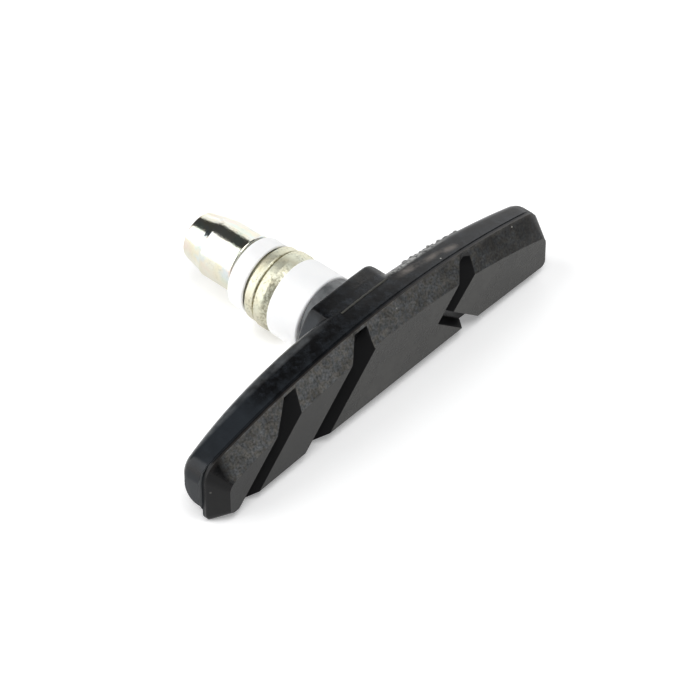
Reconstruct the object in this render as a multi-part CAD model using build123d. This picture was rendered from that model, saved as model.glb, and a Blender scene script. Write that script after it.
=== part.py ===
# Rim brake pad with a threaded stud, in millimetres, +Z up.
# X runs along the shoe, the stud lies along +Y and the friction face is the plane Y = 0.
# The origin is where the stud's axis meets the friction face.
import os
from math import cos, radians, sin, sqrt, tan

from build123d import *

# Rubber shoe: outline of the base, seen along the stud
shoe_left = 36.45          # reach of each end from the stud
shoe_right = 34.4
shoe_top = 7.45            # crown of the arched top edge, above the stud
shoe_top_arch = 132.0      # radius of that edge
shoe_bottom = 6.6          # middle of the bottom edge, below the stud
shoe_bottom_arch = 810.0
shoe_left_corner = 2.8     # top corners
shoe_right_corner = 4.2
shoe_bottom_corner = 4.6
block_corner = 2.8         # top corners of the friction block at the lip

# Rubber shoe: depths along the stud
lip_depth = 2.25           # the bevel of the friction block ends here
parting_depth = 2.9        # the friction block meets the base here
back_depth = 7.65          # bowed back at the stud
back_left_depth = 6.3      # bowed back at each end
back_right_depth = 5.9
back_left_swell = 0.9      # bow of the back half way to each end
back_right_swell = 0.25
back_edge_radius = 1.7
lip_inset = 0.12           # step from the base in to the friction block
lip_end_inset = 0.6
lip_bottom_corner = 1.5

# Friction face inside its bevels
left_bevel = 2.5
right_bevel = 0.55
top_bevel = 2.75
bottom_bevel = 1.15
face_top_arch = 109.0
face_top_corner = 1.5
face_bottom_corner = 0.9

# Water grooves across the friction face: two slanted ones and a chevron
groove_depth = 2.4
groove_angle = 45.0
groove_wall_slope = 34.0   # the right wall leans back, the left wall is square
groove_places = (-23.8, -10.3)
groove_widths = (2.75, 3.5)
chevron_place = 11.35
chevron_level = -0.6
chevron_width = 2.4

# Boss and collar on the back of the shoe
boss_radius = 9.3
boss_place = -0.3          # its middle, beside the stud
boss_corner = 2.2          # where the shoe's edges cut the round boss
boss_inset = 0.06          # step from the base in to the boss
boss_height = 2.5          # above the middle of the back
boss_edge_radius = 0.7
collar_radius = 5.4
collar_height = 2.8        # above the boss
collar_edge_radius = 0.3

# Steel backing plate moulded into the shoe
plate_length = 46.0
plate_height = 7.0
plate_thickness = 1.6
plate_cover = 1.1          # rubber between the parting line and the plate
plate_corner = 2.0

# Threaded stud, riveted into the plate
stud_diameter = 5.9
neck_diameter = 4.6
stud_engagement = 5.4      # length of stud inside the nut
stud_end_chamfer = 0.5

# Cup and dome washers, hanging loose on the stud
stack_slack = 0.42         # gap left in the thin cup's seat by a nut that is not tight
washer_bore = 7.2
washer_rest = 0.02         # gap left where a washer hangs on the stud
seat_radius = 6.3
seat_clearance = 0.03
thick_cup_radius = 6.1
thick_cup_length = 5.7
thick_cup_rim = 0.35       # width of the flat rim round the seat
thick_cup_foot_round = 0.3
thin_cup_radius = 5.6
thin_cup_length = 3.2
thin_cup_rim = 0.25
thin_cup_foot_round = 0.8
cup_rim_round = 0.8        # part of the rim's width that is rounded off
inner_dome_radius = 6.1
inner_dome_edge = 1.63     # height of the straight edge
outer_dome_radius = 5.87
outer_dome_edge = 1.84
outer_dome_ball = 5.35     # the ball face starts inside a flat shoulder
dome_edge_round = 0.45

# Nut: round foot, round body with two flats, shoulder and cone, and a hexagon socket in the tip
nut_length = 10.2
nut_foot_radius = 4.85
nut_foot_height = 0.45
nut_foot_round = 0.2
nut_body_radius = 4.72
nut_body_length = 6.0      # from the nut's base
nut_across_flats = 8.4
nut_turn = 54.0            # one flat faces this way from +X towards +Z
nut_shoulder_length = 1.0
nut_nose_radius = 4.37
nut_tip_radius = 3.68
nut_tip_round = 0.4
thread_clearance = 0.05
socket_across_flats = 5.0
socket_depth = 4.5

# Places along the stud, each piece seated on the one before
boss_face = back_depth + boss_height
collar_face = boss_face + collar_height
thick_cup_mouth = thick_cup_radius - thick_cup_rim
thin_cup_mouth = thin_cup_radius - thin_cup_rim
dome_sphere = seat_radius - seat_clearance
inner_dome_reach = sqrt(dome_sphere**2 - inner_dome_radius**2)
outer_dome_reach = sqrt(dome_sphere**2 - outer_dome_ball**2)
thick_cup_reach = sqrt(seat_radius**2 - thick_cup_mouth**2)
thin_cup_reach = sqrt(seat_radius**2 - thin_cup_mouth**2)
inner_centre = collar_face + thick_cup_length + thick_cup_reach
clamp_plane = inner_centre - inner_dome_reach + inner_dome_edge
outer_centre = clamp_plane + outer_dome_edge - outer_dome_reach
thin_cup_start = outer_centre + thin_cup_reach + stack_slack
nut_base = thin_cup_start + thin_cup_length
stud_end = nut_base + stud_engagement
plate_front = parting_depth + plate_cover
plate_back = plate_front + plate_thickness
washer_drop = (washer_bore - stud_diameter) / 2 - washer_rest
beyond = shoe_left + shoe_right    # more than any piece reaches


def level(depth):
    """Sketch plane across the stud: local x is +X and local y is +Z."""
    return Plane(origin=(0, depth, 0), x_dir=(1, 0, 0), z_dir=(0, -1, 0))


def bar(sketch, start, end):
    """Solid of a sketch run along the stud from one depth to another."""
    return extrude(level(start) * sketch, amount=start - end)


def fall(radius, place):
    """Fall of an arc of this radius from its crown to a place beside it."""
    return radius - sqrt(radius**2 - place**2)


def outline(left, right, top, top_arch, bottom, left_corner, right_corner, bottom_corner):
    """Face with an arched top, a nearly straight bottom and upright ends."""
    top_left = (-left, top - fall(top_arch, left))
    top_right = (right, top - fall(top_arch, right))
    low_left = (-left, -bottom - fall(shoe_bottom_arch, left))
    low_right = (right, -bottom - fall(shoe_bottom_arch, right))
    face = make_face([
        ThreePointArc(top_left, (0, top), top_right),
        Line(top_right, low_right),
        ThreePointArc(low_right, (0, -bottom), low_left),
        Line(low_left, top_left),
    ])
    face = fillet(face.vertices().sort_by(Axis.Y)[:2], bottom_corner)
    face = fillet(face.vertices().sort_by(Axis.X)[:2].sort_by(Axis.Y)[-1], left_corner)
    return fillet(face.vertices().sort_by(Axis.X)[-2:].sort_by(Axis.Y)[-1], right_corner)


def groove_cutter(place, height, width):
    """Bar of the groove's section, its middle at (place, height) on the friction face."""
    run = Vector(cos(radians(groove_angle)), 0, sin(radians(groove_angle)))
    across = Vector(sin(radians(groove_angle)), 0, -cos(radians(groove_angle)))
    lean = tan(radians(groove_wall_slope))
    half = width / 2
    section = make_face(Polyline(
        (-half, -1),
        (-half, groove_depth),
        (half - groove_depth * lean, groove_depth),
        (half + lean, -1),
        close=True,
    ))
    frame = Plane(origin=(place, 0, height), x_dir=across, z_dir=run)
    return extrude(frame * section, amount=beyond / 2, both=True)


def turned(points, start):
    """Solid of revolution about the stud from (radius, depth) points."""
    return Pos(0, start, 0) * revolve(make_face(Polyline(*points, close=True)), Axis.Y)


# Backing plate
plate_sketch = RectangleRounded(plate_length, plate_height, plate_corner)
backing_plate = bar(plate_sketch - Circle(neck_diameter / 2), plate_front, plate_back)

# Stud
neck = bar(Circle(neck_diameter / 2), plate_front, plate_back)
shank = bar(Circle(stud_diameter / 2), plate_back, stud_end)
shank = chamfer(shank.edges().sort_by(Axis.Y)[-1], stud_end_chamfer)
threaded_stud = neck + shank

# Shoe: base with a bowed back, lip, bevelled friction block, boss and collar
base_sketch = outline(
    shoe_left,
    shoe_right,
    shoe_top,
    shoe_top_arch,
    shoe_bottom,
    shoe_left_corner,
    shoe_right_corner,
    shoe_bottom_corner,
)
left_middle = (-shoe_left / 2, (back_depth + back_left_depth) / 2 + back_left_swell)
right_middle = (shoe_right / 2, (back_depth + back_right_depth) / 2 + back_right_swell)
left_back = (-shoe_left, back_left_depth)
right_back = (shoe_right, back_right_depth)
left_front = (-shoe_left, parting_depth)
right_front = (shoe_right, parting_depth)
plan = make_face([
    Line(left_front, right_front),
    Line(right_front, right_back),
    Spline(right_back, right_middle, (0, back_depth), left_middle, left_back),
    Line(left_back, left_front),
])
base = bar(base_sketch, parting_depth, boss_face) & extrude(plan, amount=beyond, both=True)
base = fillet(base.faces().sort_by(Axis.Y)[-1].edges(), back_edge_radius)

lip_left = shoe_left - lip_end_inset
lip_right = shoe_right - lip_end_inset
lip_sketch = outline(
    lip_left,
    lip_right,
    shoe_top - lip_inset,
    shoe_top_arch,
    shoe_bottom - lip_inset,
    block_corner,
    block_corner,
    lip_bottom_corner,
)
face_sketch = outline(
    lip_left - left_bevel,
    lip_right - right_bevel,
    shoe_top - lip_inset - top_bevel,
    face_top_arch,
    shoe_bottom - lip_inset - bottom_bevel,
    face_top_corner,
    face_top_corner,
    face_bottom_corner,
)
lip = bar(lip_sketch, lip_depth, parting_depth)
friction_block = loft([level(lip_depth) * lip_sketch, level(0) * face_sketch], ruled=True)

boss_sketch = Pos(boss_place, 0) * Circle(boss_radius) & offset(base_sketch, -boss_inset)
boss_sketch = fillet(boss_sketch.vertices().sort_by(Axis.Y)[-2:], boss_corner)
boss_sketch = fillet(boss_sketch.vertices().sort_by(Axis.Y)[:2], boss_corner)
boss = bar(boss_sketch, parting_depth, boss_face)
boss = fillet(boss.faces().sort_by(Axis.Y)[-1].edges(), boss_edge_radius)
collar = bar(Circle(collar_radius), parting_depth, collar_face)
collar = fillet(collar.edges().sort_by(Axis.Y)[-1], collar_edge_radius)
rubber_shoe = base + lip + friction_block + boss + collar

# Grooves
for place, width in zip(groove_places, groove_widths):
    rubber_shoe = rubber_shoe - groove_cutter(place, 0, width)
upper_half = Pos(0, 0, chevron_level + beyond / 2) * Box(beyond, beyond, beyond)
upper_arm = groove_cutter(chevron_place, chevron_level, chevron_width) & upper_half
lower_arm = mirror(upper_arm, Plane(origin=(0, 0, chevron_level), z_dir=(0, 0, 1)))
rubber_shoe = rubber_shoe - upper_arm - lower_arm

# Pocket that the plate and the stud are moulded into
rubber_shoe = rubber_shoe - bar(plate_sketch, plate_front, plate_back) - threaded_stud


def cup(radius, rim, reach, length, foot_round):
    """Cup washer: flat on the plane Y = 0, hollow seat opening towards +Y."""
    bore = washer_bore / 2
    mouth = radius - rim
    middle = (mouth + bore) / 2
    seat_floor = length + reach - sqrt(seat_radius**2 - bore**2)
    seat_middle = length + reach - sqrt(seat_radius**2 - middle**2)
    face = make_face([
        Line((bore, 0), (radius, 0)),
        Line((radius, 0), (radius, length)),
        Line((radius, length), (mouth, length)),
        ThreePointArc((mouth, length), (middle, seat_middle), (bore, seat_floor)),
        Line((bore, seat_floor), (bore, 0)),
    ])
    face = fillet(face.vertices().sort_by(Axis.X)[-2:].sort_by(Axis.Y)[0], foot_round)
    face = fillet(face.vertices().sort_by(Axis.X)[-2:].sort_by(Axis.Y)[1], rim * cup_rim_round)
    return revolve(face, Axis.Y)


def dome(radius, edge, ball, reach):
    """Dome washer: flat on the plane Y = 0, its ball face towards +Y inside a shoulder."""
    bore = washer_bore / 2
    middle = (ball + bore) / 2
    crown = edge - reach + sqrt(dome_sphere**2 - bore**2)
    crown_middle = edge - reach + sqrt(dome_sphere**2 - middle**2)
    shoulder = [Line((radius, edge), (ball, edge))] if ball < radius else []
    face = make_face([
        Line((bore, 0), (radius, 0)),
        Line((radius, 0), (radius, edge)),
        *shoulder,
        ThreePointArc((ball, edge), (middle, crown_middle), (bore, crown)),
        Line((bore, crown), (bore, 0)),
    ])
    return revolve(fillet(face.vertices().sort_by(Axis.X)[-2:], dome_edge_round), Axis.Y)


def hung(piece, depth, turned_back):
    """Washer put in its place along the stud, hanging on it."""
    turn = 180 if turned_back else 0
    return Pos(0, depth, -washer_drop) * Rot(0, 0, turn) * piece


# Washers
thick_cup = cup(thick_cup_radius, thick_cup_rim, thick_cup_reach, thick_cup_length, thick_cup_foot_round)
inner_dome = dome(inner_dome_radius, inner_dome_edge, inner_dome_radius, inner_dome_reach)
outer_dome = dome(outer_dome_radius, outer_dome_edge, outer_dome_ball, outer_dome_reach)
thin_cup = cup(thin_cup_radius, thin_cup_rim, thin_cup_reach, thin_cup_length, thin_cup_foot_round)
thick_cup_washer = hung(thick_cup, collar_face, False)
inner_dome_washer = hung(inner_dome, clamp_plane, True)
outer_dome_washer = hung(outer_dome, clamp_plane, False)
thin_cup_washer = hung(thin_cup, nut_base, True)

# Nut
nut_end = nut_base + nut_length
socket_floor = nut_end - socket_depth
nut_body = turned(
    [
        (0, 0),
        (nut_body_radius, 0),
        (nut_body_radius, nut_body_length),
        (nut_nose_radius, nut_body_length + nut_shoulder_length),
        (nut_tip_radius, nut_length),
        (0, nut_length),
    ],
    nut_base,
)
nut_body = fillet(nut_body.edges().sort_by(Axis.Y)[-1], nut_tip_round)
nut_flats = Rectangle(beyond, nut_across_flats, rotation=nut_turn - 90)
nut_foot = bar(Circle(nut_foot_radius), nut_base, nut_base + nut_foot_height)
nut_foot = fillet(nut_foot.edges(), nut_foot_round)
socket = RegularPolygon(socket_across_flats / 2, 6, major_radius=False, rotation=nut_turn)
cone_nut = (nut_body & bar(nut_flats, nut_base, nut_end)) + nut_foot
cone_nut = cone_nut - bar(Circle(stud_diameter / 2 + thread_clearance), nut_base, socket_floor)
cone_nut = cone_nut - bar(socket, socket_floor, nut_end)

pieces = {
    "rubber_shoe": rubber_shoe,
    "backing_plate": backing_plate,
    "threaded_stud": threaded_stud,
    "thick_cup_washer": thick_cup_washer,
    "inner_dome_washer": inner_dome_washer,
    "outer_dome_washer": outer_dome_washer,
    "thin_cup_washer": thin_cup_washer,
    "cone_nut": cone_nut,
}
os.makedirs("parts", exist_ok=True)
for name, piece in pieces.items():
    export_step(piece, f"parts/{name}.step")
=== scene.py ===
from itertools import pairwise
from math import cos, pi, radians, sin, sqrt, tan

import bpy
from mathutils import Matrix, Vector, noise


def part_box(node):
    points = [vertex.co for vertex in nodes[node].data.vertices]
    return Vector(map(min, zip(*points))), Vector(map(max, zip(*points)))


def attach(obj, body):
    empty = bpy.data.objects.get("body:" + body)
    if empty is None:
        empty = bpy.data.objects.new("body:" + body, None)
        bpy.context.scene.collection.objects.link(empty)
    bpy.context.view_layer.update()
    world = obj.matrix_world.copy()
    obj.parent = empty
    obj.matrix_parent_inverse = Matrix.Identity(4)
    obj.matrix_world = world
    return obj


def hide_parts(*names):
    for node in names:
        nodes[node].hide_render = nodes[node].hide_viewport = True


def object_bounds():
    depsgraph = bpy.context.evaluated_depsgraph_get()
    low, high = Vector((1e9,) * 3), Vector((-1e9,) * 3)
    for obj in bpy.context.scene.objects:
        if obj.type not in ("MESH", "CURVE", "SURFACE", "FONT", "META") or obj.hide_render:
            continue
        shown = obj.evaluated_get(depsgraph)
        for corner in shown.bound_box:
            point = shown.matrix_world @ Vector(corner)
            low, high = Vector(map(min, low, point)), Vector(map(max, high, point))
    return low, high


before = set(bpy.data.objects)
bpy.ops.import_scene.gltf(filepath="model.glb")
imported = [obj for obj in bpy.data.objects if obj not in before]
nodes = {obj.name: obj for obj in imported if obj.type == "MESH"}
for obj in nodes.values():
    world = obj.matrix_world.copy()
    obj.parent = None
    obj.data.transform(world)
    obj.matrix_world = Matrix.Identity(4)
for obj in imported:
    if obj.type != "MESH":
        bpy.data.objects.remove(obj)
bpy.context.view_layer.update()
mm = 0.001

# Rubber shoe: one black rubber moulding with a bevelled, grooved friction block, a lip, an
# arched base and a boss. It is pressed and cured in a steel mould round the backing plate,
# so its skin is matt and grained, dusty on the bevel and scuffed along the base.
rubber_black = (0.0022, 0.0022, 0.0026, 1)
rubber_face_wear_and_sheen = (0.042, 0.041, 0.036, 1)
rubber_grey_dust_and_painted_light = (0.215, 0.224, 0.230, 1)
rubber_brown_dust = (0.228, 0.218, 0.198, 1)
rubber_smear = (0.118, 0.104, 0.093, 1)
rubber_white_dust = (0.30, 0.30, 0.29, 1)
rubber_bloom = (0.020, 0.024, 0.029, 1)
rubber_speck = (0.42, 0.41, 0.38, 1)
stuck_grain_spot = (-35.35 * mm, 1.75 * mm, -1.25 * mm)
stuck_grain_share = 0.2
rubber_gloss = 0.28
rubber_roughness, dull_roughness = 0.27, 0.7
left_end_dull, end_bevel_dull, groove_dull = 0.75, 0.68, 0.55


def new_finish(name):
    """A material of that name: its node tree and its shader."""
    finish = bpy.data.materials.new(name)
    finish.use_nodes = True
    return finish, finish.node_tree, finish.node_tree.nodes["Principled BSDF"]


def put(tree, kind, sockets=None, **settings):
    """A node of that kind, with each socket set to a value or joined to another node's output."""
    made = tree.nodes.new("ShaderNode" + kind)
    for name, value in settings.items():
        setattr(made, name, value)
    for name, value in (sockets or {}).items():
        if isinstance(value, bpy.types.NodeSocket):
            tree.links.new(value, made.inputs[name])
        else:
            made.inputs[name].default_value = value
    return made


def ramp(tree, value, low, high):
    """Share from 0 to 1 as a value goes from low to high."""
    share = put(tree, "MapRange", {"Value": value, "From Min": low, "From Max": high})
    return share.outputs["Result"]


def times(tree, *values):
    """Product of several shares."""
    product = values[0]
    for value in values[1:]:
        product = put(tree, "Math", {0: product, 1: value}, operation="MULTIPLY").outputs[0]
    return product


def stretch(tree, value, start, full, fading, end):
    """Share that rises as a value goes from start to full, and falls as it goes from fading to end."""
    return times(tree, ramp(tree, value, start, full), ramp(tree, value, end, fading))


def tint(tree, share, below, above):
    """Colour that goes from one to another with a share."""
    mixed = put(tree, "Mix", {0: share, 6: below, 7: above}, data_type="RGBA")
    return mixed.outputs[2]


def cloud(tree, place, scale, detail=2.0, rough=0.5):
    """Soft random pattern, with so many features to the metre."""
    made = put(tree, "TexNoise", {"Vector": place, "Scale": scale, "Detail": detail, "Roughness": rough})
    return made.outputs[0]


def dress(piece, finish):
    """One finish all over a piece."""
    piece.data.materials.clear()
    piece.data.materials.append(finish)


rubber, tree, shader = new_finish("moulded_rubber")
place = put(tree, "TexCoord").outputs["Object"]
across = put(tree, "SeparateXYZ", {0: place})
along_shoe, through_shoe = (across.outputs[k] for k in "XY")
facing = put(tree, "SeparateXYZ", {0: put(tree, "NewGeometry").outputs["Normal"]})
faces_along, faces_back, faces_up = (facing.outputs[k] for k in "XYZ")
leans = put(tree, "Math", {0: faces_along}, operation="ABSOLUTE").outputs[0]
tilts = put(tree, "Math", {0: faces_up}, operation="ABSOLUTE").outputs[0]

fine_grain = cloud(tree, place, 2900, 2.0, 0.6)
coarse_grain = cloud(tree, place, 420, 3.0, 0.6)
patches = cloud(tree, place, 90, 2.0)
drawn_along = put(tree, "Mapping", {"Vector": place, "Scale": (700, 330, 330)}).outputs[0]
streaks = cloud(tree, drawn_along, 1, 3.0, 0.6)

# Where each surface of the shoe is, by the way it faces and its depth behind the friction face.
on_face = times(tree, ramp(tree, faces_back, -0.95, -0.98), ramp(tree, through_shoe, 0.6 * mm, 0.3 * mm))
on_bevel = times(
    tree,
    ramp(tree, faces_back, -0.5, -0.65),
    ramp(tree, faces_up, 0.4, 0.5),
    ramp(tree, leans, 0.4, 0.3),
)
on_base = times(
    tree,
    ramp(tree, faces_up, 0.6, 0.9),
    stretch(tree, through_shoe, 2.6 * mm, 2.9 * mm, 7.4 * mm, 7.7 * mm),
)
on_left_end = times(
    tree,
    ramp(tree, faces_along, -0.8, -0.95),
    ramp(tree, through_shoe, 2.4 * mm, 2.8 * mm),
)
left_step_painted_light = times(
    tree,
    ramp(tree, faces_back, -0.7, -0.9),
    ramp(tree, through_shoe, 2.5 * mm, 2.7 * mm),
    ramp(tree, along_shoe, -33 * mm, -34.5 * mm),
)
on_boss = times(tree, ramp(tree, through_shoe, 7.6 * mm, 7.9 * mm), ramp(tree, faces_back, 0.8, 0.4))
on_collar = times(tree, on_boss, ramp(tree, through_shoe, 10.2 * mm, 10.5 * mm))
on_lip = times(
    tree,
    stretch(tree, through_shoe, 1.9 * mm, 2.15 * mm, 2.4 * mm, 2.6 * mm),
    ramp(tree, leans, 0.4, 0.3),
    ramp(tree, faces_back, -0.9, -0.8),
)
on_fringe = times(
    tree,
    stretch(tree, through_shoe, 5.6 * mm, 6.1 * mm, 7.7 * mm, 7.9 * mm),
    ramp(tree, faces_up, 0.1, 0.3),
)
in_groove = times(
    tree,
    ramp(tree, leans, 0.4, 0.5),
    ramp(tree, faces_up, 0.4, 0.5),
    ramp(tree, along_shoe, -33 * mm, -32 * mm),
)
on_end_bevel = times(
    tree,
    ramp(tree, faces_along, -0.35, -0.5),
    ramp(tree, through_shoe, 2.3 * mm, 2.1 * mm),
    ramp(tree, tilts, 0.5, 0.35),
)

# Wear, bloom, dust and specks lie over the black rubber, one on another, with painted sheen, light and
# reflection on some faces.
# The friction face is greyer, more so towards the right: partly real wear, partly a painted reflection of
# the white table.
face_wear_and_sheen = times(
    tree,
    on_face,
    ramp(tree, patches, -0.3, 0.75),
    ramp(tree, along_shoe, -42 * mm, -4 * mm),
    ramp(tree, coarse_grain, -0.3, 0.58),
)
skin = tint(tree, face_wear_and_sheen, rubber_black, rubber_face_wear_and_sheen)
dust_ends = stretch(tree, along_shoe, -33.5 * mm, -31.5 * mm, -2 * mm, 44 * mm)
dust_grain = times(tree, ramp(tree, fine_grain, 0.05, 0.86), ramp(tree, coarse_grain, -0.1, 0.64))
dust_kind = ramp(tree, cloud(tree, place, 1300, 2.0), 0.4, 0.6)
dust_hue = tint(tree, dust_kind, rubber_grey_dust_and_painted_light, rubber_brown_dust)
skin = tint(tree, times(tree, on_bevel, dust_ends, dust_grain), skin, dust_hue)
bloom = times(tree, on_base, ramp(tree, along_shoe, -21 * mm, -26 * mm), ramp(tree, patches, -0.3, 0.8))
skin = tint(tree, bloom, skin, rubber_bloom)
scuffs = times(tree, on_base, ramp(tree, streaks, 0.5, 0.75), ramp(tree, patches, 0.35, 0.6))
skin = tint(tree, scuffs, skin, rubber_bloom)
mottle = times(tree, on_base, ramp(tree, cloud(tree, place, 900, 3.0, 0.65), 0.45, 0.72), 0.6)
skin = tint(tree, mottle, skin, rubber_bloom)
front_edge = times(tree, on_base, ramp(tree, through_shoe, 3.9 * mm, 3.1 * mm))
worn_edge = times(tree, front_edge, ramp(tree, coarse_grain, 0.3, 0.9))
skin = tint(tree, worn_edge, skin, rubber_bloom)
skin = tint(tree, times(tree, on_lip, ramp(tree, coarse_grain, 0.1, 0.8), 0.35), skin, rubber_smear)
smear_line = put(
    tree,
    "MapRange",
    {
        "Value": along_shoe,
        "From Min": 8 * mm,
        "From Max": 18 * mm,
        "To Min": 5.05 * mm,
        "To Max": 3.85 * mm,
    },
)
smear_off = put(tree, "Math", {0: through_shoe, 1: smear_line.outputs[0]}, operation="SUBTRACT").outputs[0]
smear_off = put(tree, "Math", {0: smear_off}, operation="ABSOLUTE").outputs[0]
smear_ends = stretch(tree, along_shoe, 5.5 * mm, 8 * mm, 16.5 * mm, 20 * mm)
smear_width = ramp(tree, smear_off, 0.75 * mm, 0.2 * mm)
smear = times(tree, on_base, smear_ends, smear_width, ramp(tree, coarse_grain, 0.35, 0.65))
skin = tint(tree, smear, skin, rubber_smear)
fringe_ends = stretch(tree, along_shoe, 5 * mm, 7 * mm, 12 * mm, 20 * mm)
fringe_grain = ramp(tree, cloud(tree, place, 1100, 3.0, 0.6), 0.4, 0.58)
fringe_dust = times(tree, on_fringe, fringe_ends, fringe_grain)
skin = tint(tree, fringe_dust, skin, rubber_white_dust)
# Painted sheen: the rounded back edge left of the boss is painted grey.
rim_left = ramp(tree, along_shoe, -6 * mm, -11 * mm)
back_edge_painted_sheen = times(tree, on_fringe, rim_left, ramp(tree, coarse_grain, 0.2, 0.65), 0.3)
skin = tint(tree, back_edge_painted_sheen, skin, rubber_grey_dust_and_painted_light)
skin = tint(tree, times(tree, on_left_end, ramp(tree, patches, -0.3, 0.9)), skin, rubber_bloom)
# Painted light: the shaded front step of the base at the left end is painted grey.
skin = tint(tree, times(tree, left_step_painted_light, 0.5), skin, rubber_grey_dust_and_painted_light)
boss_bloom = times(tree, on_boss, ramp(tree, faces_up, 0.95, 0.7), ramp(tree, coarse_grain, 0.1, 0.6))
skin = tint(tree, boss_bloom, skin, rubber_bloom)
# Painted light: the boss's sides that face left are a little lighter.
boss_left_painted_light = times(tree, boss_bloom, ramp(tree, faces_along, -0.2, -0.6), 0.05)
skin = tint(tree, boss_left_painted_light, skin, rubber_grey_dust_and_painted_light)
boss_top = times(tree, on_boss, ramp(tree, faces_up, 0.7, 0.9))
boss_right = stretch(tree, along_shoe, 0, 2 * mm, 3 * mm, 5 * mm)
boss_dust = times(tree, boss_top, boss_right, ramp(tree, coarse_grain, 0.3, 0.7), 0.22)
skin = tint(tree, boss_dust, skin, rubber_brown_dust)
boss_mottle = times(tree, boss_top, ramp(tree, cloud(tree, place, 700, 3.0, 0.65), 0.45, 0.7), 0.5)
skin = tint(tree, boss_mottle, skin, rubber_bloom)
# Painted sheen: the collar is painted grey where its rounded edge catches a sheen.
collar_painted_sheen = times(tree, on_collar, ramp(tree, coarse_grain, 0.2, 0.55), 0.6)
skin = tint(tree, collar_painted_sheen, skin, rubber_grey_dust_and_painted_light)
specks = put(tree, "TexVoronoi", {"Vector": place, "Scale": 430})
speck_chance = put(tree, "SeparateColor", {0: specks.outputs["Color"]}).outputs[0]
at_speck = ramp(tree, specks.outputs["Distance"], 0.07, 0.035)
speck = times(tree, at_speck, ramp(tree, speck_chance, 0.88, 0.91))
skin = tint(tree, speck, skin, rubber_speck)
off_grain = put(tree, "VectorMath", {0: place, 1: stuck_grain_spot}, operation="DISTANCE").outputs["Value"]
stuck_grain = times(tree, ramp(tree, off_grain, 0.24 * mm, 0.06 * mm), stuck_grain_share)
skin = tint(tree, stuck_grain, skin, rubber_speck)
tree.links.new(skin, shader.inputs["Base Color"])

# The skin has a soft gloss, and is duller at the left end and on the groove walls.
dulled = times(tree, on_left_end, left_end_dull)
for dull in (times(tree, on_end_bevel, end_bevel_dull), times(tree, in_groove, groove_dull)):
    dulled = put(tree, "Math", {0: dulled, 1: dull}, operation="MAXIMUM").outputs[0]
dullness = put(tree, "MapRange", {"Value": dulled, "To Min": rubber_roughness, "To Max": dull_roughness})
tree.links.new(dullness.outputs[0], shader.inputs["Roughness"])
shader.inputs["Specular IOR Level"].default_value = rubber_gloss
pits = put(tree, "Bump", {"Height": fine_grain, "Strength": 0.35, "Distance": 0.03 * mm})
waves = put(tree, "Bump", {"Height": coarse_grain, "Strength": 0.3, "Distance": 0.08 * mm})
tree.links.new(pits.outputs[0], waves.inputs["Normal"])
tree.links.new(waves.outputs[0], shader.inputs["Normal"])


def take_over(piece):
    """Makes one piece the only selected one."""
    bpy.ops.object.select_all(action="DESELECT")
    piece.select_set(True)
    bpy.context.view_layer.objects.active = piece


def use_up(piece, modifier):
    """Applies a modifier to its piece."""
    take_over(piece)
    bpy.ops.object.modifier_apply(modifier=modifier.name)


def combine(piece, other, operation):
    """Joins or trims a piece with another closed shape, which is then gone."""
    made = piece.modifiers.new("combine", "BOOLEAN")
    made.object = other
    made.operation = operation
    made.solver = "EXACT"
    use_up(piece, made)
    bpy.data.objects.remove(other)


merge_reach = 0.0005 * mm
shoe_fold = radians(28)
shoe = bpy.data.objects.new("rubber_shoe_moulded", nodes["rubber_shoe"].data.copy())
bpy.context.scene.collection.objects.link(shoe)
take_over(shoe)
bpy.ops.mesh.customdata_custom_splitnormals_clear()
bpy.ops.object.mode_set(mode="EDIT")
bpy.ops.mesh.select_all(action="SELECT")
bpy.ops.mesh.remove_doubles(threshold=merge_reach)
bpy.ops.object.mode_set(mode="OBJECT")

# The chevron's lower arm lies flatter than its upper arm, and both of its walls lean a little.
chevron_point = Vector((11.35 * mm, 0, -0.6 * mm))
groove_half = 1.2 * mm
groove_depth = 2.4 * mm
groove_lean = tan(radians(34))
arm_fall = radians(41)
arm_left = -1.41 * mm
arm_right = 0.79 * mm
arm_left_lean = tan(radians(12))
arm_right_lean = tan(radians(15))
near = 0.01 * mm
near_share = 0.01
for vertex in shoe.data.vertices:
    along, through, up = vertex.co - chevron_point
    width = 2 * groove_half - through * groove_lean
    share = ((along + up) / sqrt(2) + groove_half) / width
    if through > groove_depth + near or up > near or not -near_share < share < 1 + near_share:
        continue
    left = arm_left + through * arm_left_lean
    right = arm_right - through * arm_right_lean
    reach = left + share * (right - left)
    if up > -near:
        upper_wall = along - up
        up = (reach - upper_wall * sin(arm_fall)) / (sin(arm_fall) + cos(arm_fall))
        along = upper_wall + up
    else:
        along = (reach - up * cos(arm_fall)) / sin(arm_fall)
    vertex.co = chevron_point + Vector((along, through, up))

# Each groove stops just short of the lip, where the bevel runs on past its end. On its way down the
# bevel, the leaning wall of the middle groove is drawn in a little, and the chevron's is set out.
lip_crown, lip_arch = 7.33 * mm, 132 * mm
face_crown, face_arch = 4.58 * mm, 109 * mm
lip_depth = 2.25 * mm
land = 0.33 * mm
end_wall = 0.08 * mm
held_below = 0.5 * mm
far_off = 1.0
flat_enough = radians(1)
steps_down = (land, land + end_wall, 0.8 * mm, 1.4 * mm, 2.1 * mm)

# Each groove has a place along the shoe, a level, half its width, and how far its wall is set out at
# each place down the bevel, in millimetres.
left_set = (0, 0, 0, 0, 0, 0, 0)
middle_set = (-0.75, -0.75, -0.7, -0.75, -0.8, -0.75, 0)
chevron_set = (0.55, 0.55, 0.6, 0.6, 0.55, 0.45, 0.4)
grooves = (
    (-23.8 * mm, 0, 1.375 * mm, left_set),
    (-10.3 * mm, 0, 1.75 * mm, middle_set),
    (chevron_point.x, chevron_point.z, groove_half, chevron_set),
)


def lip_height(along):
    """Height of the lip's arched top edge."""
    return lip_crown - along**2 / (2 * lip_arch)


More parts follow.
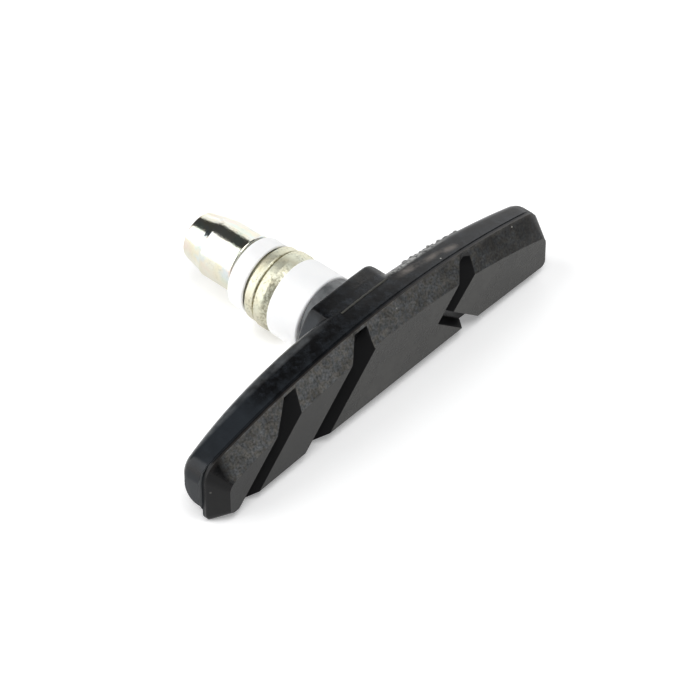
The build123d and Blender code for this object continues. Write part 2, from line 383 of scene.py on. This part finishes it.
def bevel_height(along):
    """Height of the bevel, from the edge of the friction face up to the lip."""
    return lip_height(along) - face_crown + along**2 / (2 * face_arch)


def off_middle(spot, middle, level):
    """Way from a groove's middle line to a spot, or a long way if it is behind the groove."""
    return (spot.x - middle - spot.z + level) / sqrt(2) if spot.y < groove_depth + near else far_off


def on_wall_edge(spot, middle, level, half):
    """Whether a spot is on the front edge of a groove's leaning wall."""
    edge = half - spot.y * groove_lean
    return spot.y < lip_depth - near and edge - 2 * near < off_middle(spot, middle, level) < half + near


def on_slope(face):
    """Whether a face lies on the bevel."""
    return face.normal.y < -0.5 and face.normal.z > 0.5 and abs(face.normal.x) < 0.4


for face in shoe.data.polygons:
    face.select = all(shoe.data.vertices[k].co.y < near for k in face.vertices)
bpy.ops.object.mode_set(mode="EDIT")
bpy.ops.mesh.select_mode(type="FACE")
bpy.ops.mesh.dissolve_limited(angle_limit=flat_enough)
bpy.ops.object.mode_set(mode="OBJECT")
for middle, level, half, sets in grooves:
    tip = middle - level + lip_height(middle + lip_crown)
    cuts = (*steps_down, bevel_height(tip) + held_below)
    places = (*steps_down, bevel_height(tip), bevel_height(tip) + held_below)
    for cut in cuts:
        spots = [vertex.co for vertex in shoe.data.vertices]
        for face in shoe.data.polygons:
            offs = [abs(off_middle(spots[k], middle, level)) for k in face.vertices]
            face.select = max(offs) < half + near
        bpy.ops.object.mode_set(mode="EDIT")
        bpy.ops.mesh.select_mode(type="FACE")
        bpy.ops.mesh.bisect(plane_co=(tip, 0, lip_height(tip) - cut), plane_no=(tip / lip_arch, 0, 1))
        bpy.ops.object.mode_set(mode="OBJECT")
    spots = [vertex.co for vertex in shoe.data.vertices]
    for face in shoe.data.polygons:
        beside = any(on_wall_edge(spots[k], middle, level, half) for k in face.vertices)
        face.select = beside and on_slope(face)
    bpy.ops.object.mode_set(mode="EDIT")
    bpy.ops.mesh.dissolve_faces()
    bpy.ops.object.mode_set(mode="OBJECT")
    for vertex in shoe.data.vertices:
        drop = lip_height(vertex.co.x) - vertex.co.z
        if abs(off_middle(vertex.co, middle, level)) > half + near or drop > max(places) + near:
            continue
        bevel = lip_depth * (1 - drop / bevel_height(vertex.co.x))
        if on_wall_edge(vertex.co, middle, level, half):
            for (above, upper), (below, lower) in pairwise(zip(places, sets)):
                if land - end_wall < drop < below + end_wall:
                    vertex.co.x += (upper + (lower - upper) * (drop - above) / (below - above)) * mm
                    break
        if drop < land + end_wall / 2:
            vertex.co.y = min(vertex.co.y, bevel)

# The low left corner of the base is drawn in, down to its bottom edge.
shoe_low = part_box("rubber_shoe")[0]
corner_in = 1.9 * mm
corner_top = 0.4 * mm
corner_front, corner_back = 2.95 * mm, 9.5 * mm
wedge_left = shoe_low.x - 3 * mm
wedge_foot = shoe_low.z - 0.2 * mm
wedge_edge = shoe_low.x - 0.02 * mm
bpy.ops.object.select_all(action="DESELECT")
bpy.ops.mesh.primitive_cube_add(size=2)
wedge = bpy.context.object
wedge_sides = {-1: (wedge_left, wedge_left), 1: (shoe_low.x + corner_in, wedge_edge)}
for vertex in wedge.data.vertices:
    side, depth, height = (round(share) for share in vertex.co)
    up = corner_top if height > 0 else wedge_foot
    through = corner_back if depth > 0 else corner_front
    vertex.co = (wedge_sides[side][height > 0], through, up)
combine(shoe, wedge, "DIFFERENCE")
take_over(shoe)
bpy.ops.object.shade_smooth_by_angle(angle=shoe_fold)
dress(shoe, rubber)
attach(shoe, "root")
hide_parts("rubber_shoe")

# Flash: thin rubber that squeezed into the joints of the mould and was never trimmed off. It is
# a bead in front of the boss and a torn, dusty fringe along the back edge, one with the shoe.
flash_dark = (0.040, 0.040, 0.039, 1)
flash_grey = (0.062, 0.060, 0.049, 1)
flash_dusty = (0.40, 0.40, 0.39, 1)

torn, tree, shader = new_finish("torn_rubber")
place = put(tree, "TexCoord").outputs["Object"]
along_flash = put(tree, "SeparateXYZ", {0: place}).outputs["X"]
dust = tint(tree, ramp(tree, along_flash, 5.5 * mm, 8 * mm), flash_grey, flash_dusty)
dusted = ramp(tree, cloud(tree, place, 1500, 3.0, 0.6), 0.3, 0.6)
tree.links.new(tint(tree, dusted, flash_dark, dust), shader.inputs["Base Color"])
shader.inputs["Roughness"].default_value = 0.6
shader.inputs["Specular IOR Level"].default_value = rubber_gloss

bead_line = 5.85 * mm
top_line = 4.5 * mm
back_below_top = 2.5 * mm
back_edge_radius = 1.7 * mm
back_edge_lean = radians(56)
well_outside = 100 * mm
strip_step = 0.12 * mm
tear_length = 0.7 * mm
flash_root = -0.06 * mm
flash_wobble = 0.04 * mm
bpy.context.view_layer.update()


def on_top(along, through=bead_line):
    """Spot on the shoe's arched top, and the way out of it."""
    spot = shoe.ray_cast(Vector((along, through, well_outside)), Vector((0, 0, -1)))[1]
    return spot, Vector((0, 0, 1))


def on_back_edge(along):
    """Spot on the rounding of the shoe's back edge, and the way out of it."""
    top = on_top(along, top_line)[0].z
    back = shoe.ray_cast(Vector((along, well_outside, top - back_below_top)), Vector((0, -1, 0)))[1].y
    outward = Vector((0, sin(back_edge_lean), cos(back_edge_lean)))
    centre = Vector((along, back - back_edge_radius, top - back_edge_radius))
    return centre + back_edge_radius * outward, outward


def flash(name, start, end, spot_at, least, most, thickness):
    """Ragged strip of flash along the shoe, with its least and most height."""
    bpy.ops.object.select_all(action="DESELECT")
    steps = round((end - start) / strip_step)
    bpy.ops.mesh.primitive_grid_add(x_subdivisions=steps, y_subdivisions=1, size=1)
    strip = bpy.context.object
    strip.name = name
    for vertex in strip.data.vertices:
        along = start + (vertex.co.x + 0.5) * (end - start)
        foot, outward = spot_at(along)
        tear = 0.5 + 0.5 * noise.noise(Vector((along / tear_length, 0, 0)))
        rise = least + (most - least) * tear if vertex.co.y > 0 else flash_root
        vertex.co = foot + rise * outward
    bpy.ops.object.mode_set(mode="EDIT")
    bpy.ops.mesh.select_all(action="SELECT")
    bpy.ops.transform.vertex_random(offset=flash_wobble, uniform=0.4, seed=3)
    bpy.ops.object.mode_set(mode="OBJECT")
    thicken = strip.modifiers.new("thicken", "SOLIDIFY")
    thicken.thickness = thickness
    thicken.offset = 0
    use_up(strip, thicken)
    rounded = strip.modifiers.new("rounded", "SUBSURF")
    rounded.levels = rounded.render_levels = 1
    use_up(strip, rounded)
    bpy.ops.object.shade_smooth()
    dress(strip, torn)
    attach(strip, "root")


flash("flash_bead", -4.3 * mm, 5.2 * mm, on_top, -0.02 * mm, 0.22 * mm, 0.38 * mm)
flash("flash_fringe", 9.7 * mm, 21 * mm, on_back_edge, -0.15 * mm, 0.50 * mm, 0.25 * mm)

# Backing plate: a flat bar of plain rolled steel, punched to length and laid in the mould
# so that the rubber holds it on every side. It is hidden, and stiffens the shoe.
plate_grey = (0.40, 0.40, 0.41, 1)
plate_scale = (0.20, 0.19, 0.185, 1)

rolled, tree, shader = new_finish("rolled_steel")
place = put(tree, "TexCoord").outputs["Object"]
drawn_out = put(tree, "Mapping", {"Vector": place, "Scale": (60, 900, 900)}).outputs[0]
rolling_lines = cloud(tree, drawn_out, 1, 4.0)
plate_tone = tint(tree, ramp(tree, rolling_lines, 0.3, 0.8), plate_grey, plate_scale)
tree.links.new(plate_tone, shader.inputs["Base Color"])
shader.inputs["Metallic"].default_value = 1.0
shader.inputs["Roughness"].default_value = 0.42
lines = put(tree, "Bump", {"Height": rolling_lines, "Strength": 0.3, "Distance": 0.02 * mm})
tree.links.new(lines.outputs[0], shader.inputs["Normal"])
dress(nodes["backing_plate"], rolled)

# Threaded stud: an M6 steel rod with a rolled thread, zinc plated and passivated pale yellow.
# Its neck is riveted into the backing plate, and the washers and the nut are threaded on it.
zinc_pale = (0.74, 0.735, 0.66, 1)
zinc_straw = (0.72, 0.68, 0.50, 1)
zinc_rose = (0.74, 0.62, 0.59, 1)
zinc_blue = (0.58, 0.68, 0.74, 1)
zinc_green = (0.62, 0.70, 0.58, 1)
zinc_pit_and_shade = (0.30, 0.29, 0.21, 1)
zinc_painted_shade = (0.50, 0.475, 0.38, 1)
zinc_seam_shade = (0.25, 0.215, 0.095, 1)
dome_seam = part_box("inner_dome_washer")[1].y


def zinc_finish(name, pale, rainbow, polish, grain, pits_and_cup_shade):
    """Yellow passivated zinc: pale tone, share of rainbow film, least and most roughness, grain, share of
    pits and of painted shade at the cup's rim. It also has painted shade underneath and along the dome
    seam.
    """
    plated, tree, shader = new_finish(name)
    place = put(tree, "TexCoord").outputs["Object"]
    film = cloud(tree, place, 260, 2.0)
    shifted = put(tree, "Mapping", {"Vector": place, "Location": (0.03, 0.05, 0.02)}).outputs[0]
    other_film = cloud(tree, shifted, 330, 2.0)
    colour = tint(tree, ramp(tree, cloud(tree, place, 520, 3.0), 0.35, 0.7), pale, zinc_straw)
    for pattern, low, high, hue in (
        (film, 0.52, 0.66, zinc_rose),
        (other_film, 0.55, 0.68, zinc_blue),
        (film, 0.45, 0.34, zinc_green),
    ):
        colour = tint(tree, times(tree, ramp(tree, pattern, low, high), rainbow), colour, hue)
    facing = put(tree, "SeparateXYZ", {0: put(tree, "NewGeometry").outputs["Normal"]})
    faces_along, faces_up = facing.outputs["X"], facing.outputs["Z"]
    # Painted shade: faces that look down are darker and more straw-coloured.
    colour = tint(tree, times(tree, ramp(tree, faces_up, 0.45, -0.35), 0.8), colour, zinc_painted_shade)
    crystals = cloud(tree, place, 2600, 3.0, 0.6)
    pitted = ramp(tree, cloud(tree, place, 600, 2.0), 0.35, 0.65)
    pits = times(tree, ramp(tree, crystals, 0.50, 0.68), pitted, pits_and_cup_shade)
    colour = tint(tree, pits, colour, zinc_pit_and_shade)
    # Painted shade: a dark line along the crease between the two dome washers.
    along_stud = put(tree, "SeparateXYZ", {0: place}).outputs["Y"]
    past_seam = put(tree, "Math", {0: along_stud, 1: dome_seam}, operation="SUBTRACT").outputs[0]
    off_seam = put(tree, "Math", {0: past_seam}, operation="ABSOLUTE").outputs[0]
    seam_shade = times(tree, ramp(tree, off_seam, 0.34 * mm, 0.14 * mm), ramp(tree, crystals, 0.25, 0.6))
    colour = tint(tree, seam_shade, colour, zinc_seam_shade)
    # Painted shade: the left side of the inner dome darkens towards the thick cup's rim, in pit colour.
    cup_rim_painted_shade = times(
        tree,
        ramp(tree, past_seam, -1.3 * mm, -2.0 * mm),
        ramp(tree, faces_along, 0.1, -0.5),
        ramp(tree, crystals, 0.35, 0.6),
        pits_and_cup_shade,
    )
    colour = tint(tree, cup_rim_painted_shade, colour, zinc_pit_and_shade)
    tree.links.new(colour, shader.inputs["Base Color"])
    shader.inputs["Metallic"].default_value = 1.0
    dullness = put(tree, "MapRange", {"Value": crystals, "To Min": polish[0], "To Max": polish[1]})
    tree.links.new(dullness.outputs[0], shader.inputs["Roughness"])
    peel = put(tree, "Bump", {"Height": crystals, "Strength": 1.0, "Distance": grain})
    tree.links.new(peel.outputs[0], shader.inputs["Normal"])
    return plated


zinc = zinc_finish("zinc_plating", zinc_pale, 0.3, (0.10, 0.26), 0.02 * mm, 0.2)
stud_low, stud_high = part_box("threaded_stud")
thread_pitch = 1.0 * mm
thread_crest = stud_high.x
thread_depth = 0.61 * thread_pitch
thread_root = thread_crest - thread_depth
thread_inside = 3.0 * mm
thread_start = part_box("rubber_shoe")[1].y - thread_inside
thread_steps = 40
off_rows = 0.004 * thread_pitch
past_nose = 0.25 * thread_pitch
thread_fold = radians(30)
shank_overlap = 0.4 * thread_pitch
neck_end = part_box("backing_plate")[1].y
neck_radius = 2.3 * mm
stud_chamfer = 0.5 * mm
nose_clearance = 0.3 * mm
rod_sides = 64


def blank(name, radius, start, end):
    """Closed round bar on the stud's axis, with its place in its mesh."""
    bpy.ops.object.select_all(action="DESELECT")
    bpy.ops.mesh.primitive_cylinder_add(
        vertices=rod_sides,
        radius=radius,
        depth=end - start,
        location=(0, (start + end) / 2, 0),
        rotation=(-pi / 2, 0, 0),
    )
    bar = bpy.context.object
    bar.name = name
    bpy.ops.object.transform_apply(location=True, rotation=True, scale=True)
    return bar


# The thread's own tooth is laid out along one pitch and wound up the rod. Its ends are cut a little
# off the rows of its vertices, so that no cut runs through a vertex.
tooth = (
    (thread_root, 0.0),
    (thread_root, 0.10),
    (thread_crest, 0.42),
    (thread_crest, 0.58),
    (thread_root, 0.90),
    (thread_root, 1.0),
)
thread_turns = 2 + round((stud_high.y - thread_start) / thread_pitch)
bpy.ops.object.select_all(action="DESELECT")
bpy.ops.mesh.primitive_circle_add(vertices=len(tooth), radius=thread_crest, fill_type="NOTHING")
stud = bpy.context.object
stud.name = "threaded_stud_rolled"
for vertex, (radius, share) in zip(stud.data.vertices, tooth):
    vertex.co = (radius, thread_start + (share - 1) * thread_pitch, 0)
bpy.ops.object.mode_set(mode="EDIT")
bpy.ops.mesh.select_all(action="DESELECT")
bpy.ops.mesh.select_mode(type="EDGE")
bpy.ops.object.mode_set(mode="OBJECT")
for edge in stud.data.edges:
    ends = sorted(edge.vertices)
    edge.select = ends == [0, len(tooth) - 1]
bpy.ops.object.mode_set(mode="EDIT")
bpy.ops.mesh.delete(type="EDGE")
bpy.ops.object.mode_set(mode="OBJECT")
wind = stud.modifiers.new("wind", "SCREW")
wind.axis = "Y"
wind.angle = 2 * pi
wind.screw_offset = thread_pitch
wind.iterations = thread_turns
wind.steps = wind.render_steps = thread_steps
wind.use_merge_vertices = True
wind.merge_threshold = merge_reach
use_up(stud, wind)
thread_ends = (thread_start + off_rows, stud_high.y + past_nose + off_rows)
bpy.ops.object.mode_set(mode="EDIT")
for cut, outward in zip(thread_ends, (-1, 1)):
    bpy.ops.mesh.select_all(action="SELECT")
    bpy.ops.mesh.bisect(plane_co=(0, cut, 0), plane_no=(0, outward, 0), use_fill=True, clear_outer=True)
bpy.ops.mesh.select_all(action="SELECT")
bpy.ops.mesh.remove_doubles(threshold=merge_reach)
bpy.ops.mesh.normals_make_consistent(inside=False)
bpy.ops.object.mode_set(mode="OBJECT")

# The rod's free end is chamfered, and its plain shank and neck run on into the shoe.
nose = blank("stud_nose", thread_crest + nose_clearance, thread_start - thread_pitch, stud_high.y)
bpy.ops.object.mode_set(mode="EDIT")
bpy.ops.mesh.select_mode(type="FACE")
bpy.ops.mesh.select_all(action="DESELECT")
bpy.ops.object.mode_set(mode="OBJECT")
for face in nose.data.polygons:
    face.select = face.normal.y > 0.9
bpy.ops.object.mode_set(mode="EDIT")
bpy.ops.mesh.bevel(offset=stud_chamfer + nose_clearance, segments=1, affect="EDGES")
bpy.ops.object.mode_set(mode="OBJECT")
combine(stud, nose, "INTERSECT")
shank = blank("stud_shank", thread_crest, neck_end, thread_start + shank_overlap)
neck = blank("stud_neck", neck_radius, stud_low.y, neck_end + thread_pitch)
combine(shank, neck, "UNION")
combine(stud, shank, "UNION")
take_over(stud)
bpy.ops.object.shade_smooth_by_angle(angle=thread_fold)
dress(stud, zinc)
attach(stud, "root")
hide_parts("threaded_stud")

# Cup washers: a thick and a thin ring of white moulded nylon with a round seat in one side.
# They slide on the stud, the thick one against the collar and the thin one under the nut.
nylon_white = (0.96, 0.96, 0.955, 1)
nylon_shade = (0.92, 0.925, 0.93, 1)

nylon, tree, shader = new_finish("white_nylon")
place = put(tree, "TexCoord").outputs["Object"]
flow = cloud(tree, place, 240, 3.0)
nylon_tone = tint(tree, ramp(tree, flow, 0.35, 0.75), nylon_white, nylon_shade)
tree.links.new(nylon_tone, shader.inputs["Base Color"])
shader.inputs["Roughness"].default_value = 0.38
shader.inputs["Subsurface Weight"].default_value = 0.25
shader.inputs["Subsurface Radius"].default_value = (1.0, 0.95, 0.9)
shader.inputs["Subsurface Scale"].default_value = 0.8 * mm
satin_grain = cloud(tree, place, 2600, 2.0)
satin = put(tree, "Bump", {"Height": satin_grain, "Strength": 0.15, "Distance": 0.02 * mm})
tree.links.new(satin.outputs[0], shader.inputs["Normal"])
for washer in ("thick_cup_washer", "thin_cup_washer"):
    dress(nodes[washer], nylon)

# Dome washers: two turned steel rings, flat on one side and round on the other, zinc plated.
# They sit flat against each other and turn in the cups, so the pad can be tilted.
zinc_olive = (0.76, 0.755, 0.62, 1)
tumbled_zinc = zinc_finish("tumbled_zinc_plating", zinc_olive, 0.2, (0.36, 0.62), 0.05 * mm, 0.9)
for washer in ("inner_dome_washer", "outer_dome_washer"):
    dress(nodes[washer], tumbled_zinc)

# Cone nut: a turned steel nut with a round foot, a round body with two flats and a cone, and a
# key socket in its tip. It is zinc plated, and the passivation shows rainbow tints on its side.
rainbow_zinc = zinc_finish("zinc_plating_rainbow", zinc_pale, 0.7, (0.08, 0.20), 0.02 * mm, 0.25)
dress(nodes["cone_nut"], rainbow_zinc)

# Stage: a white table that glows a little, in a dark room with three soft walls of light and one soft
# box above. The camera looks from the photograph's angle. None of it is part of the pad.
table_white = (0.95, 0.95, 0.95, 1)
table_glow = 0.30
table_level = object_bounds()[0][2]
table_reach = 3.0
room_tone = (0.9, 0.95, 1.0, 1)
room_glow = 0.06

bpy.ops.object.select_all(action="DESELECT")
bpy.ops.mesh.primitive_plane_add(size=2 * table_reach, location=(0, 0, table_level))
table = bpy.context.object
table.name = "table"
white, tree, shader = new_finish("white_table")
shader.inputs["Base Color"].default_value = table_white
shader.inputs["Emission Color"].default_value = table_white
shader.inputs["Emission Strength"].default_value = table_glow
shader.inputs["Roughness"].default_value = 0.8
shader.inputs["Specular IOR Level"].default_value = 0.1
dress(table, white)

room = bpy.data.worlds.new("dark_room")
room.use_nodes = True
room.node_tree.nodes["Background"].inputs["Color"].default_value = room_tone
room.node_tree.nodes["Background"].inputs["Strength"].default_value = room_glow
bpy.context.scene.world = room

# Each light has a place, a spot that it faces, a width, a height and a brightness.
soft_boxes = (
    ("wall_left", (-0.2546, 0.2746, 0.40), (0.0, 0.02, 0.40), 0.504, 0.80, 2.2),
    ("wall_right", (0.4362, 0.1362, 0.2225), (-0.0066, 0.0561, 0.2225), 0.598, 0.445, 1.3),
    ("wall_back", (0.3078, 0.414, 0.15), (0.0, 0.02, 0.15), 0.105, 0.30, 1.2),
    ("box_top", (-0.08, -0.22, 0.80), (0.0, 0.0, 0.0), 0.55, 0.55, 4.2),
)
for name, spot, aim, width, height, glow in soft_boxes:
    lamp = bpy.data.lights.new(name, "AREA")
    lamp.shape = "RECTANGLE"
    lamp.size = width
    lamp.size_y = height
    lamp.energy = glow * pi * width * height
    box = bpy.data.objects.new(name, lamp)
    bpy.context.scene.collection.objects.link(box)
    box.location = spot
    box.rotation_euler = (Vector(spot) - Vector(aim)).to_track_quat("Z", "Y").to_euler()
    box.visible_camera = False

view_turn, view_height, view_roll = radians(48.0), radians(44.44), radians(0.23)
view_aim = Vector((-9.08 * mm, 0, 7.66 * mm))
view_distance = 520 * mm
view_lens = 195.76
view_back = Vector(
    (-sin(view_turn) * cos(view_height), -cos(view_turn) * cos(view_height), sin(view_height))
)
view_right = Vector((cos(view_turn), -sin(view_turn), 0))
view_up = view_back.cross(view_right)
roll = Matrix.Rotation(-view_roll, 3, view_back)
axes = Matrix((roll @ view_right, roll @ view_up, view_back)).transposed()
camera = bpy.data.objects.new("camera", bpy.data.cameras.new("camera"))
bpy.context.scene.collection.objects.link(camera)
camera.matrix_world = Matrix.Translation(view_aim + view_distance * view_back) @ axes.to_4x4()
camera.data.sensor_width = 36
camera.data.lens = view_lens
camera.data.clip_start = 0.01
bpy.context.scene.camera = camera
bpy.context.scene.view_settings.view_transform = "Standard"
